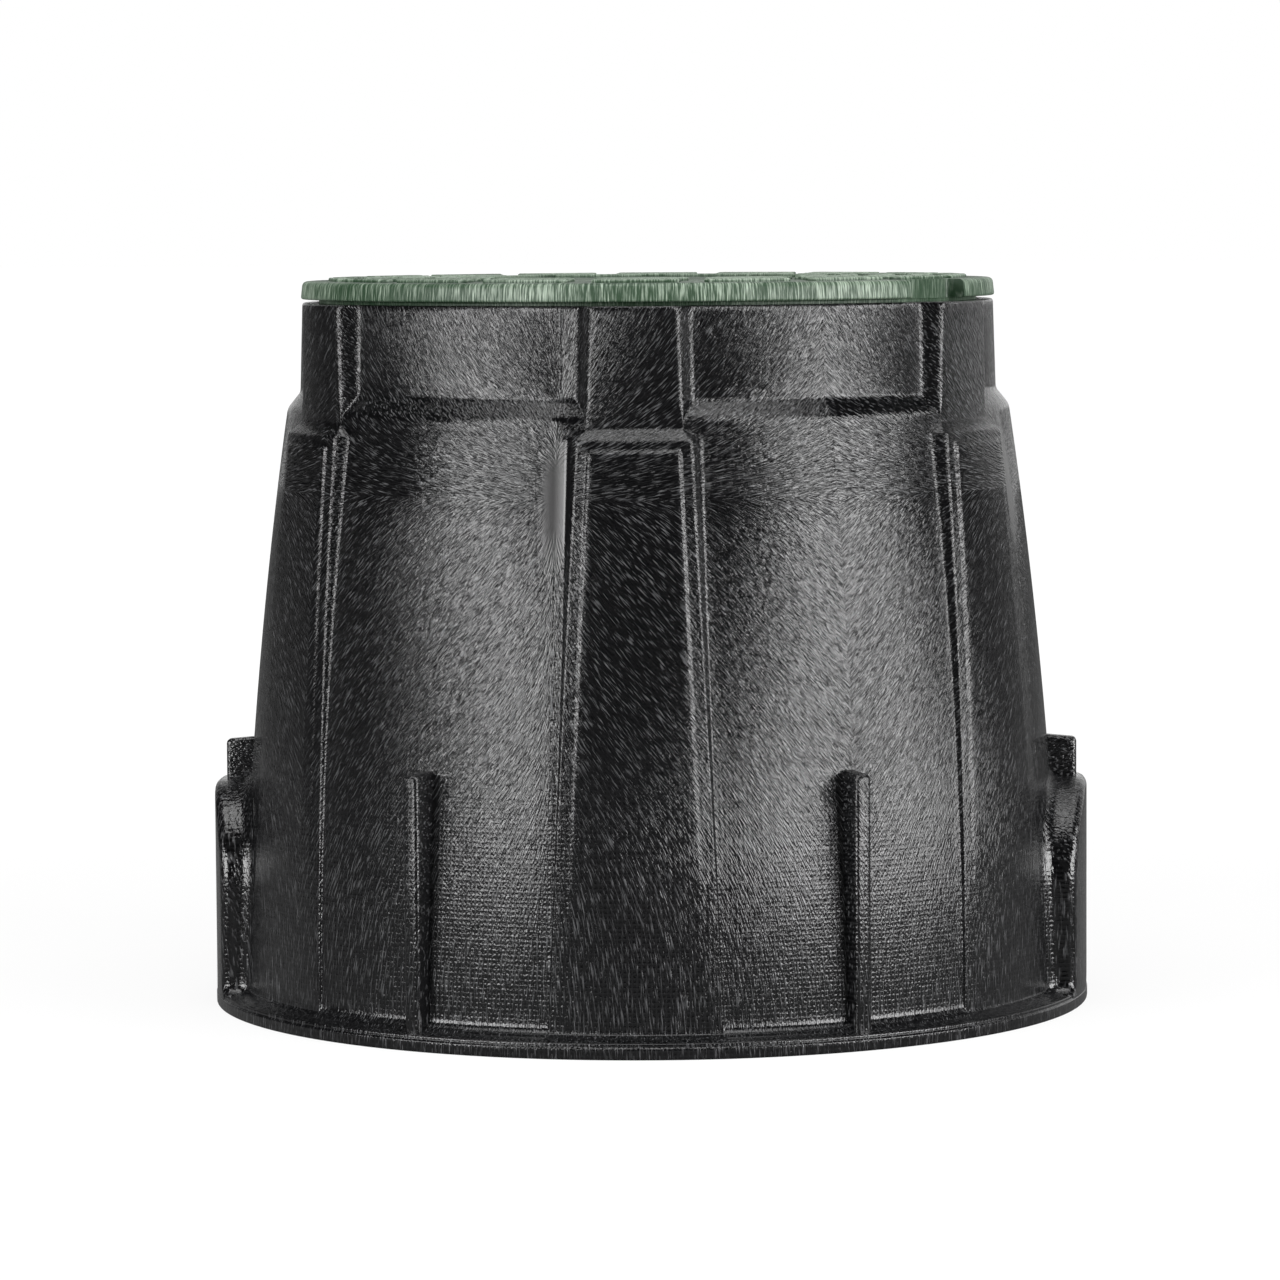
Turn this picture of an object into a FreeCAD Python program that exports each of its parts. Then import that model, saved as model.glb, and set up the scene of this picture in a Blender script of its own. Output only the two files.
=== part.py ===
import FreeCAD, Part
import math
import os
import Sketcher

# Round irrigation valve box: a one-piece moulded body and a lift-off cover.
# Millimetres, +Z up, base flange on z = 0, front pilaster on -Y, pipe run along X.

SIZES = [
    # base flange: a low bead at its edge, and a deck that rises to the wall
    ("flange_radius", 161.5),
    ("flange_bead_height", 5.6),
    ("flange_bead_width", 1.8),
    ("flange_deck_height", 7.2),
    ("flange_edge_step", 0.7),
    ("flange_edge_step_height", 3.8),
    ("foot_fillet", 3.0),
    # curved, tapered wall
    ("wall_foot_radius", 151.6),
    ("wall_top_radius", 132.8),
    ("wall_top_height", 218.5),
    ("wall_bulge", 3.0),
    ("wall_thickness", 5.0),
    # shoulder and collar
    ("collar_foot_radius", 128.0),
    ("collar_foot_height", 224.5),
    ("collar_top_radius", 127.0),
    ("rim_height", 257.2),
    # lid seat inside the collar
    ("seat_recess_radius", 122.0),
    ("seat_inner_radius", 116.0),
    ("seat_depth", 11.0),
    ("seat_ledge_thickness", 3.0),
    # pilasters: upper panel on the collar, ledge, lower panel on the wall
    ("upper_panel_radius", 133.4),
    ("upper_panel_top_half_width", 15.3),
    ("upper_panel_foot_half_width", 16.8),
    ("upper_panel_foot_height", 215.0),
    ("lower_panel_top_height", 211.0),
    ("lower_panel_top_raise", 4.2),
    ("lower_panel_foot_raise", 0.8),
    ("lower_panel_top_half_width", 20.3),
    ("lower_panel_foot_half_width", 30.2),
    ("panel_flank_angle", 37.0),
    ("panel_root_depth", 20.0),
    ("panel_trim_depth", 5.0),
    # raised field on each lower panel
    ("field_top_height", 207.5),
    ("field_foot_height", 52.0),
    ("field_top_half_width", 15.9),
    ("field_foot_half_width", 23.0),
    ("field_top_raise", 0.9),
    ("field_foot_raise", 0.25),
    # stacking ribs
    ("rib_thickness", 6.0),
    ("rib_radius", 157.5),
    ("rib_top_height", 96.5),
    ("rib_top_fall", 1.2),
    ("rib_edge_bevel", 1.4),
    # pipe arches, hollow behind a closed face
    ("arch_half_width", 43.0),
    ("arch_crown_height", 81.0),
    ("arch_corner_radius", 36.0),
    ("arch_radius", 161.2),
    ("arch_edge_bevel", 2.2),
    ("arch_wall", 5.0),
    # cover
    ("cover_radius", 127.5),
    ("cover_gap", 1.3),
    ("cover_edge_thickness", 6.5),
    ("cover_edge_bevel", 2.2),
    ("cover_edge_lean", 0.7),
    ("cover_foot_bevel", 0.8),
    ("cover_plate_thickness", 4.6),
    ("skirt_radius", 120.8),
    ("skirt_thickness", 3.6),
    ("cover_rib_thickness", 3.2),
    ("cover_rib_depth", 7.0),
    ("notch_angle", 57.0),
    ("notch_half_width", 17.5),
    ("notch_depth", 8.4),
    ("notch_corner_bevel", 2.0),
    # raised tread on the cover
    ("tread_height", 1.2),
    ("tread_bar_width", 6.4),
    ("tread_pitch", 13.0),
    ("tread_outer_radius", 116.5),
    ("tread_gap", 9.0),
]

PILASTERS = 6
RIBS = 6
COVER_RIBS = 8
# straight bands that follow the wall's slow curve: outside to within a third of a millimetre
WALL_BANDS = 3
INSIDE_BANDS = 2
# bars in each ring of the tread, from the outermost ring inwards
TREAD_BARS = (18, 16, 14, 12, 9)

doc = FreeCAD.newDocument("valve_box")
sheet = doc.addObject("Spreadsheet::Sheet", "sizes")
for row, (alias, value) in enumerate(SIZES, start=1):
    sheet.set("A%d" % row, alias.replace("_", " "))
    sheet.set("B%d" % row, str(value))
    sheet.setAlias("B%d" % row, alias)
doc.recompute()


def size(alias):
    return "sizes." + alias


def origin_part(body, role):
    return next(part for part in body.Origin.OriginFeatures if part.Role == role)


def new_sketch(body, name, plane, offset=None):
    sketch = body.newObject("Sketcher::SketchObject", name)
    sketch.AttachmentSupport = [(origin_part(body, plane), "")]
    sketch.MapMode = "FlatFace"
    if offset is not None:
        sketch.setExpression("AttachmentOffset.Base.z", offset)
    return sketch


def pin(sketch, edge, end, axis, text):
    """Ties one coordinate of an edge's end to an expression."""
    if text == "0":
        sketch.addConstraint(Sketcher.Constraint("PointOnObject", edge, end, -2 if axis == "X" else -1))
        return
    value = float(sketch.evalExpression(text))
    index = sketch.addConstraint(Sketcher.Constraint("Distance" + axis, -1, 1, edge, end, value))
    sketch.setExpression("Constraints[%d]" % index, text)


def outline(sketch, corners, arcs=None):
    """Closed outline through corners given as pairs of expressions. An entry of arcs, by the number of
    its first corner, bends that side: (radius, turn), turn +1 for anticlockwise."""
    arcs = arcs or {}
    points = [
        FreeCAD.Vector(*(float(sketch.evalExpression(text)) for text in corner), 0) for corner in corners
    ]
    ends = []
    for i, start in enumerate(points):
        stop = points[(i + 1) % len(points)]
        if i not in arcs:
            edge = sketch.addGeometry(Part.LineSegment(start, stop), False)
            ends.append((edge, 1, 2))
            continue
        radius = float(sketch.evalExpression(arcs[i][0]))
        chord = stop - start
        left = FreeCAD.Vector(-chord.y, chord.x, 0).normalize()
        reach = math.sqrt(max(radius**2 - (chord.Length / 2) ** 2, 0.0))
        centre = (start + stop) * 0.5 + left * (reach * arcs[i][1])
        top = centre - left * (radius * arcs[i][1])
        edge = sketch.addGeometry(Part.Arc(start, top, stop), False)
        curve = sketch.Geometry[edge]
        forward = curve.StartPoint.distanceToPoint(start) < curve.EndPoint.distanceToPoint(start)
        ends.append((edge, 1, 2) if forward else (edge, 2, 1))
    for i, (edge, first, last) in enumerate(ends):
        after, after_first, after_last = ends[(i + 1) % len(ends)]
        sketch.addConstraint(Sketcher.Constraint("Coincident", edge, last, after, after_first))
    for i, (edge, first, last) in enumerate(ends):
        pin(sketch, edge, first, "X", corners[i][0])
        pin(sketch, edge, first, "Y", corners[i][1])
    for i, (radius_text, turn) in arcs.items():
        edge = ends[i][0]
        value = float(sketch.evalExpression(radius_text))
        index = sketch.addConstraint(Sketcher.Constraint("Radius", edge, value))
        sketch.setExpression("Constraints[%d]" % index, radius_text)


def new_feature(body, kind, name):
    feature = body.newObject("PartDesign::" + kind, name)
    feature.Refine = False
    return feature


def turned(body, kind, name, sketch):
    feature = new_feature(body, kind, name)
    feature.Profile = sketch
    feature.ReferenceAxis = (sketch, ["V_Axis"])
    feature.Angle = 360.0
    return feature


def around(body, name, originals, count):
    pattern = new_feature(body, "PolarPattern", name)
    pattern.Originals = originals
    pattern.Axis = (origin_part(body, "Z_Axis"), [""])
    pattern.Angle = 360.0
    pattern.Occurrences = count
    body.Tip = pattern
    doc.recompute()
    return pattern


# Box body: the outer form is built solid, then hollowed.
body = doc.addObject("PartDesign::Body", "box_body")

wall_rise = "(%s-%s)" % (size("wall_top_height"), size("flange_deck_height"))
wall_lean = "(%s-%s)" % (size("wall_foot_radius"), size("wall_top_radius"))


def wall_radius(height):
    """Expression for the wall's outer radius at a height, on a shallow bulging curve."""
    part_way = "((%s-%s)/%s)" % (height, size("flange_deck_height"), wall_rise)
    return "(%s-%s*%s+4*%s*%s*(1-%s))" % (
        size("wall_foot_radius"),
        wall_lean,
        part_way,
        size("wall_bulge"),
        part_way,
        part_way,
    )


def wall_corners(inset, bands):
    """Corners of the wall's profile from foot to top, set in by an expression."""
    corners = []
    for band in range(bands + 1):
        height = "(%s+%s*%d/%d)" % (size("flange_deck_height"), wall_rise, band, bands)
        corners.append(("%s-%s" % (wall_radius(height), inset), height))
    return corners


edge_radius = "%s-%s" % (size("flange_radius"), size("flange_edge_step"))
outer = new_sketch(body, "outer_profile", "XZ_Plane")
outline(
    outer,
    [
        ("0", "0"),
        (size("flange_radius"), "0"),
        (size("flange_radius"), size("flange_edge_step_height")),
        (edge_radius, size("flange_edge_step_height") + "+" + size("flange_edge_step")),
        (edge_radius, size("flange_bead_height")),
        ("%s-%s" % (edge_radius, size("flange_bead_width")), size("flange_bead_height")),
    ]
    + wall_corners("0", WALL_BANDS)
    + [
        (size("collar_foot_radius"), size("collar_foot_height")),
        (size("collar_top_radius"), size("rim_height")),
        ("0", size("rim_height")),
    ],
)
form = turned(body, "Revolution", "outer_form", outer)
doc.recompute()


def wedge_section(tool, name, height, radius, half_width):
    """Section of a raised panel with leaning flanks, reaching from inside the wall to beyond its face."""
    sketch = new_sketch(tool, name, "XY_Plane", height)
    face = "-sqrt((%s)^2-(%s)^2)" % (radius, half_width)
    lean = "tan(%s)" % size("panel_flank_angle")
    front = "%s-%s" % (face, size("panel_trim_depth"))
    front_half = "(%s-%s*%s)" % (half_width, size("panel_trim_depth"), lean)
    root = "%s+%s" % (face, size("panel_root_depth"))
    root_half = "(%s+%s*%s)" % (half_width, size("panel_root_depth"), lean)
    outline(
        sketch,
        [
            ("-" + front_half, front),
            (front_half, front),
            (root_half, root),
            ("-" + root_half, root),
        ],
    )
    return sketch


def raised_panels(name, sections):
    """Joins a ring of panels to the body. Sections run from the top down, each a height, a face radius
    and a half width. The wedges stand on a core inside the wall and are turned to the face radius."""
    tool = doc.addObject("PartDesign::Body", name + "_tool")
    top, foot = sections[0][0], sections[-1][0]
    core = new_sketch(tool, name + "_core_profile", "XZ_Plane")
    core_foot = "%s-0.6*%s" % (size("wall_foot_radius"), size("panel_root_depth"))
    core_top = "%s-0.3*%s" % (size("collar_top_radius"), size("panel_root_depth"))
    outline(
        core,
        [
            ("0", foot + "+1"),
            (core_foot, foot + "+1"),
            (core_top, top + "-1"),
            ("0", top + "-1"),
        ],
    )
    turned(tool, "Revolution", name + "_core", core)
    wedge = new_feature(tool, "AdditiveLoft", name + "_wedge")
    sketches = [
        wedge_section(tool, "%s_section_%d" % (name, number), *section)
        for number, section in enumerate(sections)
    ]
    wedge.Profile = sketches[0]
    wedge.Sections = sketches[1:]
    wedge.Ruled = True
    doc.recompute()
    around(tool, name + "_wedges", [wedge], PILASTERS)
    trim = new_sketch(tool, name + "_trim_profile", "XZ_Plane")
    far = size("flange_radius") + "+40"
    outline(
        trim,
        [(sections[-1][1], foot + "-5"), (far, foot + "-5"), (far, top + "+5"), (sections[0][1], top + "+5")]
        + [(radius, height) for height, radius, half_width in sections],
    )
    turned(tool, "Groove", name + "_trim", trim)
    doc.recompute()
    joined = new_feature(body, "Boolean", name)
    joined.Type = "Fuse"
    joined.setObjects([tool])
    body.Tip = joined
    doc.recompute()


def between(top, foot, height, top_height, foot_height):
    return "(%s+(%s-%s)*(%s-%s)/(%s-%s))" % (
        size(foot),
        size(top),
        size(foot),
        height,
        foot_height,
        top_height,
        foot_height,
    )


panel_top = size("lower_panel_top_height")
panel_foot = size("flange_deck_height") + "-2"


def panel_part_way(height):
    return "((%s-%s)/(%s-%s))" % (height, size("flange_deck_height"), panel_top, size("flange_deck_height"))


def panel_radius(height):
    """Expression for the lower panel's face radius: the wall's, plus a raise that grows towards the top."""
    part_way = panel_part_way(height)
    return "(%s+%s+(%s-%s)*%s*%s)" % (
        wall_radius(height),
        size("lower_panel_foot_raise"),
        size("lower_panel_top_raise"),
        size("lower_panel_foot_raise"),
        part_way,
        part_way,
    )


def panel_half_width(height):
    return "(%s+(%s-%s)*%s)" % (
        size("lower_panel_foot_half_width"),
        size("lower_panel_top_half_width"),
        size("lower_panel_foot_half_width"),
        panel_part_way(height),
    )


lower_heights = [panel_top]
for band in range(WALL_BANDS - 1, 0, -1):
    lower_heights.append("(%s+%s*%d/%d)" % (size("flange_deck_height"), wall_rise, band, WALL_BANDS))
raised_panels(
    "pilasters",
    [
        (size("rim_height"), size("upper_panel_radius"), size("upper_panel_top_half_width")),
        (size("upper_panel_foot_height"), size("upper_panel_radius"), size("upper_panel_foot_half_width")),
    ]
    + [
        (height, panel_radius(height), panel_half_width(height)) for height in lower_heights + [panel_foot]
    ],
)

# Low raised field on each lower panel, dying away towards the foot.
field_ends = (size("field_top_height"), size("field_foot_height"))
field_sections = []
for height in [field_ends[0]] + lower_heights[1:] + [field_ends[1]]:
    raised = between("field_top_raise", "field_foot_raise", height, *field_ends)
    field_sections.append(
        (
            height,
            "(%s+%s)" % (panel_radius(height), raised),
            between("field_top_half_width", "field_foot_half_width", height, *field_ends),
        )
    )
raised_panels("fields", field_sections)

# Fillet at the foot of the wall, broken at each pilaster.
foot = new_sketch(body, "foot_fillet_profile", "XZ_Plane")
fillet_end = "%s+%s" % (size("wall_foot_radius"), size("foot_fillet"))
fillet_top = "%s+%s" % (size("flange_deck_height"), size("foot_fillet"))
outline(
    foot,
    [
        (size("wall_foot_radius") + "-1.5", size("flange_deck_height") + "-1"),
        (fillet_end, size("flange_deck_height") + "-1"),
        (fillet_end, size("flange_deck_height")),
        (
            "%s+0.293*%s" % (size("wall_foot_radius"), size("foot_fillet")),
            "%s+0.293*%s" % (size("flange_deck_height"), size("foot_fillet")),
        ),
        (size("wall_foot_radius"), fillet_top),
        (size("wall_foot_radius") + "-1.5", fillet_top),
    ],
)
foot_fillet = turned(body, "Revolution", "foot_fillet", foot)
foot_fillet.Midplane = True
foot_fillet.setExpression(
    "Angle",
    "360 deg/%d-2*asin((%s+0.8)/%s)"
    % (PILASTERS, size("lower_panel_foot_half_width"), size("wall_foot_radius")),
)
doc.recompute()
around(body, "foot_fillets", [foot_fillet], PILASTERS)

# Pipe arches: one block along X for both, turned round at its ends, its outer edges bevelled, then joined.
arches = doc.addObject("PartDesign::Body", "arch_tool")
arch = new_sketch(arches, "arch_outline", "YZ_Plane")
arch_side = size("arch_half_width")
arch_flat = "(%s-%s)" % (size("arch_half_width"), size("arch_corner_radius"))
arch_spring = "(%s-%s)" % (size("arch_crown_height"), size("arch_corner_radius"))
arch_foot = size("flange_edge_step_height") + "/2"
outline(
    arch,
    [
        ("-" + arch_side, arch_foot),
        (arch_side, arch_foot),
        (arch_side, arch_spring),
        (arch_flat, size("arch_crown_height")),
        ("-" + arch_flat, size("arch_crown_height")),
        ("-" + arch_side, arch_spring),
    ],
    {2: (size("arch_corner_radius"), 1), 4: (size("arch_corner_radius"), 1)},
)
arch_block = new_feature(arches, "Pad", "arch_block")
arch_block.Profile = arch
arch_block.Midplane = True
arch_block.setExpression("Length", "2*%s+20" % size("arch_radius"))
doc.recompute()
trim = new_sketch(arches, "arch_trim_profile", "XZ_Plane")
outline(
    trim,
    [
        (size("arch_radius"), "-5"),
        (size("arch_radius") + "+40", "-5"),
        (size("arch_radius") + "+40", size("arch_crown_height") + "+10"),
        (size("arch_radius"), size("arch_crown_height") + "+10"),
    ],
)
arch_ends = turned(arches, "Groove", "arch_ends", trim)
doc.recompute()
arch_edges = []
for number, edge in enumerate(arch_ends.Shape.Edges, start=1):
    middle = edge.valueAt((edge.FirstParameter + edge.LastParameter) / 2)
    on_end = abs(math.hypot(middle.x, middle.y) - sheet.get("arch_radius")) < 0.01
    is_foot = middle.z < sheet.get("flange_edge_step_height")
    is_seam = abs(middle.y) < 0.01 and middle.z < sheet.get("arch_crown_height") - 0.01
    if on_end and not is_foot and not is_seam:
        arch_edges.append("Edge%d" % number)
bevel = new_feature(arches, "Chamfer", "arch_bevel")
bevel.Base = (arch_ends, arch_edges)
bevel.setExpression("Size", size("arch_edge_bevel"))
doc.recompute()
joined = new_feature(body, "Boolean", "arches")
joined.Type = "Fuse"
joined.setObjects([arches])
body.Tip = joined
doc.recompute()

# Stacking ribs, midway between the pilasters.
rib = new_sketch(body, "rib_profile", "XZ_Plane")
rib_root = size("wall_top_radius")
rib_shoulder = "%s-%s" % (size("rib_top_height"), size("rib_top_fall"))
outline(
    rib,
    [
        (rib_root, size("flange_deck_height") + "-2"),
        (size("rib_radius"), size("flange_deck_height") + "-2"),
        (size("rib_radius"), "%s-%s" % (rib_shoulder, size("rib_edge_bevel"))),
        ("%s-%s" % (size("rib_radius"), size("rib_edge_bevel")), rib_shoulder),
        (rib_root, size("rib_top_height")),
    ],
)
rib_pad = new_feature(body, "Pad", "rib")
rib_pad.Profile = rib
rib_pad.Midplane = True
rib_pad.setExpression("Length", size("rib_thickness"))
doc.recompute()
around(body, "ribs", [rib_pad], RIBS)

# Inside: the wall's own arc set in by its thickness, the lid seat, and the open foot.
inner = new_sketch(body, "inner_profile", "XZ_Plane")
seat_height = "(%s-%s)" % (size("rim_height"), size("seat_depth"))
ledge_under = "(%s-%s)" % (seat_height, size("seat_ledge_thickness"))
collar_inner = "(%s-%s)" % (size("collar_foot_radius"), size("wall_thickness"))
outline(
    inner,
    [
        ("0", "-5"),
        ("%s-%s" % (size("wall_foot_radius"), size("wall_thickness")), "-5"),
    ]
    + wall_corners(size("wall_thickness"), INSIDE_BANDS)[:-1]
    + [
        ("%s-%s" % (size("wall_top_radius"), size("wall_thickness")), size("wall_top_height") + "-2"),
        (collar_inner, size("collar_foot_height") + "-2"),
        (collar_inner, "%s-(%s-%s)" % (ledge_under, collar_inner, size("seat_inner_radius"))),
        (size("seat_inner_radius"), ledge_under),
        (size("seat_inner_radius"), seat_height),
        (size("seat_recess_radius"), seat_height),
        (size("seat_recess_radius"), size("rim_height") + "+5"),
        ("0", size("rim_height") + "+5"),
    ],
)
hollow = turned(body, "Groove", "hollow", inner)
doc.recompute()

# Behind each arch: its outline set in by the arch wall, stopping short of the closed face, open at the foot.
recesses = doc.addObject("PartDesign::Body", "recess_tool")
recess = new_sketch(recesses, "recess_outline", "YZ_Plane")
recess_side = "(%s-%s)" % (size("arch_half_width"), size("arch_wall"))
recess_crown = "(%s-%s)" % (size("arch_crown_height"), size("arch_wall"))
recess_corner = "(%s-%s)" % (size("arch_corner_radius"), size("arch_wall"))
outline(
    recess,
    [
        ("-" + recess_side, "-5"),
        (recess_side, "-5"),
        (recess_side, arch_spring),
        (arch_flat, recess_crown),
        ("-" + arch_flat, recess_crown),
        ("-" + recess_side, arch_spring),
    ],
    {2: (recess_corner, 1), 4: (recess_corner, 1)},
)
recess_block = new_feature(recesses, "Pad", "recess_block")
recess_block.Profile = recess
recess_block.Midplane = True
recess_block.setExpression("Length", "2*%s+20" % size("flange_radius"))
doc.recompute()
recess_trim = new_sketch(recesses, "recess_trim_profile", "XZ_Plane")
recess_end = "(%s-%s)" % (size("arch_radius"), size("arch_wall"))
outline(
    recess_trim,
    [
        (recess_end, "-10"),
        (recess_end + "+40", "-10"),
        (recess_end + "+40", size("arch_crown_height") + "+10"),
        (recess_end, size("arch_crown_height") + "+10"),
    ],
)
turned(recesses, "Groove", "recess_ends", recess_trim)
doc.recompute()
hollowed = new_feature(body, "Boolean", "arch_recesses")
hollowed.Type = "Cut"
hollowed.setObjects([recesses])
body.Tip = hollowed
doc.recompute()

# Cover.
cover = doc.addObject("PartDesign::Body", "cover")
cover_foot = "(%s+%s)" % (size("rim_height"), size("cover_gap"))
cover_top = "(%s+%s)" % (cover_foot, size("cover_edge_thickness"))
plate_under = "(%s-%s)" % (cover_top, size("cover_plate_thickness"))
skirt_inner = "(%s-%s)" % (size("skirt_radius"), size("skirt_thickness"))
top_radius = "(%s-%s)" % (size("cover_radius"), size("cover_edge_lean"))
plate = new_sketch(cover, "cover_profile", "XZ_Plane")
outline(
    plate,
    [
        ("0", plate_under),
        (skirt_inner, plate_under),
        (skirt_inner, seat_height),
        (size("skirt_radius"), seat_height),
        (size("skirt_radius"), cover_foot),
        ("%s-%s" % (size("cover_radius"), size("cover_foot_bevel")), cover_foot),
        (size("cover_radius"), "%s+%s" % (cover_foot, size("cover_foot_bevel"))),
        (top_radius, "%s-%s" % (cover_top, size("cover_edge_bevel"))),
        ("%s-%s" % (top_radius, size("cover_edge_bevel")), cover_top),
        ("0", cover_top),
    ],
)
turned(cover, "Revolution", "cover_plate", plate)
doc.recompute()

spoke_foot = "(%s-%s)" % (plate_under, size("cover_rib_depth"))
spoke = new_sketch(cover, "spoke_profile", "XZ_Plane")
outline(
    spoke,
    [
        ("0", spoke_foot),
        (skirt_inner + "+1", spoke_foot),
        (skirt_inner + "+1", plate_under + "+1"),
        ("0", plate_under + "+1"),
    ],
)
spoke_pad = new_feature(cover, "Pad", "spoke")
spoke_pad.Profile = spoke
spoke_pad.Midplane = True
spoke_pad.setExpression("Length", size("cover_rib_thickness"))
doc.recompute()
around(cover, "spokes", [spoke_pad], COVER_RIBS)

notch = new_sketch(cover, "notch_outline", "XY_Plane", cover_top)
notch.setExpression("AttachmentOffset.Rotation.Angle", size("notch_angle"))
notch_floor = "-(%s-%s)" % (size("cover_radius"), size("notch_depth"))
notch_bevel = size("notch_corner_bevel")
outline(
    notch,
    [
        ("-" + size("notch_half_width"), "-(%s+20)" % size("cover_radius")),
        (size("notch_half_width"), "-(%s+20)" % size("cover_radius")),
        (size("notch_half_width"), "%s-%s" % (notch_floor, notch_bevel)),
        ("%s-%s" % (size("notch_half_width"), notch_bevel), notch_floor),
        ("-(%s-%s)" % (size("notch_half_width"), notch_bevel), notch_floor),
        ("-" + size("notch_half_width"), "%s-%s" % (notch_floor, notch_bevel)),
    ],
)
notch_cut = new_feature(cover, "Pocket", "pry_notch")
notch_cut.Profile = notch
notch_cut.setExpression("Length", size("cover_edge_thickness"))
doc.recompute()

for number, bars in enumerate(TREAD_BARS):
    far = "(%s-%d*%s)" % (size("tread_outer_radius"), number, size("tread_pitch"))
    near = "(%s-%s)" % (far, size("tread_bar_width"))
    half = "(pi*(%s-%s/2)/%d-%s/2)" % (far, size("tread_bar_width"), bars, size("tread_gap"))
    bar = new_sketch(cover, "tread_bar_outline_%d" % number, "XY_Plane", cover_top)
    outline(
        bar,
        [
            ("-" + half, "-" + far),
            (half, "-" + far),
            (half, "-" + near),
            ("-" + half, "-" + near),
        ],
    )
    bar_pad = new_feature(cover, "Pad", "tread_bar_%d" % number)
    bar_pad.Profile = bar
    bar_pad.setExpression("Length", size("tread_height"))
    doc.recompute()
    around(cover, "tread_ring_%d" % number, [bar_pad], bars)

doc.recompute()
for item in doc.Objects:
    if "Invalid" in item.State or "Error" in item.State:
        raise RuntimeError("%s did not build: %s" % (item.Name, item.State))
os.makedirs("parts", exist_ok=True)
for node in (body, cover):
    shape = node.Shape
    if shape.isNull() or not shape.isValid() or len(shape.Solids) != 1:
        raise RuntimeError("%s is not one valid solid" % node.Name)
    shape.exportStep("parts/%s.step" % node.Name)
    print(node.Name, "volume", round(shape.Volume), "box", shape.BoundBox)
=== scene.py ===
import math

import bmesh
import bpy
import numpy as np
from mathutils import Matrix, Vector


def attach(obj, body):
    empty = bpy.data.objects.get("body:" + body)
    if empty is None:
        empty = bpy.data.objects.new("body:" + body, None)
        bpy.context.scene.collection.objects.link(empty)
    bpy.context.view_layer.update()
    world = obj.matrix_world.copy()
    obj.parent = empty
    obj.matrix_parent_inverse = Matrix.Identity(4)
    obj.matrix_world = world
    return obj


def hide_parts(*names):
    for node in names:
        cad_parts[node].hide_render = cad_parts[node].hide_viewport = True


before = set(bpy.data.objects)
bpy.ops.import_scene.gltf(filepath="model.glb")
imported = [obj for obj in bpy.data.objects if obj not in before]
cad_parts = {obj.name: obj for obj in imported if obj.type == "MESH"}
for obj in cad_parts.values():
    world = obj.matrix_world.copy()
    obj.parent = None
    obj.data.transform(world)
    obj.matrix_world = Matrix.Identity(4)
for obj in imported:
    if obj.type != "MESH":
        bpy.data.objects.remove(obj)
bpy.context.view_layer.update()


# Box body: one structural-foam moulding in black polyethylene, open underneath.
# A stepped base flange carries a tapered, slightly bulged wall with six two-level pilasters, and a
# collar whose inside is stepped to seat the cover. Sizes below are in millimetres.
MM = 0.001
FLANGE_INNER = 146.6
FLANGE_RADIUS = 161.4
FLANGE_EDGE_HEIGHT = 3.8
BEAD_RADIUS = 160.8
BEAD_FOOT = 4.5
BEAD_INNER = 159.0
BEAD_HEIGHT = 5.6
DECK = 7.2
DECK_MIDDLE = (155.0, 6.5, 0)
FOOT_FILLET = 3.0
WALL_FOOT_RADIUS = 151.6
WALL_TAPER = 18.8
WALL_BULGE = 12.0
WALL_TOP = 218.5
WALL_THICKNESS = 5.0
COLLAR_FOOT = 224.5
COLLAR_FOOT_RADIUS = 128.0
COLLAR_TOP_RADIUS = 127.0
RIM = 257.2
PILASTERS = 6
FLANK = math.tan(math.radians(37.0))
FLANK_EASE = 1.4
PANEL_TOP = 211.0
PANEL_FOOT_HALF = 30.2
PANEL_TOP_HALF = 20.3
PANEL_RAISE = 0.8
PANEL_RAISE_GROWTH = 3.4
PANEL_FOOT_FILLET = 0.8
UPPER_PANEL_FOOT = 215.0
UPPER_PANEL_RADIUS = 133.4
UPPER_PANEL_FOOT_HALF = 16.8
UPPER_PANEL_TOP_HALF = 15.3
FIELD_FOOT = 52.0
FIELD_TOP = 207.5
FIELD_FOOT_HALF = 23.0
FIELD_TOP_HALF = 15.9
FIELD_FOOT_RAISE = 0.25
FIELD_TOP_RAISE = 0.95
FIELD_MARGIN = 3.6
FIELD_EDGE = 1.0
SEAT_RADIUS = 122.0
SEAT_HEIGHT = 246.2
LEDGE_RADIUS = 116.0
LEDGE_FOOT = 243.2
LEDGE_ROOT = 236.2
COLLAR_INNER = 123.0
COLLAR_INNER_FOOT = 222.5
SHOULDER_INNER = 127.8
SHOULDER_INNER_FOOT = 216.5


def wall_curve(z):
    part_way = (z - DECK) / (WALL_TOP - DECK)
    return WALL_FOOT_RADIUS - WALL_TAPER * part_way + WALL_BULGE * part_way * (1.0 - part_way)


def panel_curve(z):
    part_way = (z - DECK) / (PANEL_TOP - DECK)
    return wall_curve(z) + PANEL_RAISE + PANEL_RAISE_GROWTH * part_way * part_way


def soften(corners, steps=6):
    """Profile through (radius, height, rounding) corners, each corner eased by its rounding."""
    line = []
    for i, (r, z, rounding) in enumerate(corners):
        here = np.array((r, z))
        if rounding == 0:
            line.append(here)
            continue
        back = np.array(corners[i - 1][:2]) - here
        ahead = np.array(corners[i + 1][:2]) - here
        back /= np.linalg.norm(back)
        ahead /= np.linalg.norm(ahead)
        half = 0.5 * math.acos(np.clip(back @ ahead, -1.0, 1.0))
        reach = rounding / math.tan(half)
        for s in np.linspace(0.0, 1.0, steps):
            line.append(here + back * reach * (1.0 - s) ** 2 + ahead * reach * s**2)
    return np.array(line)


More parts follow.
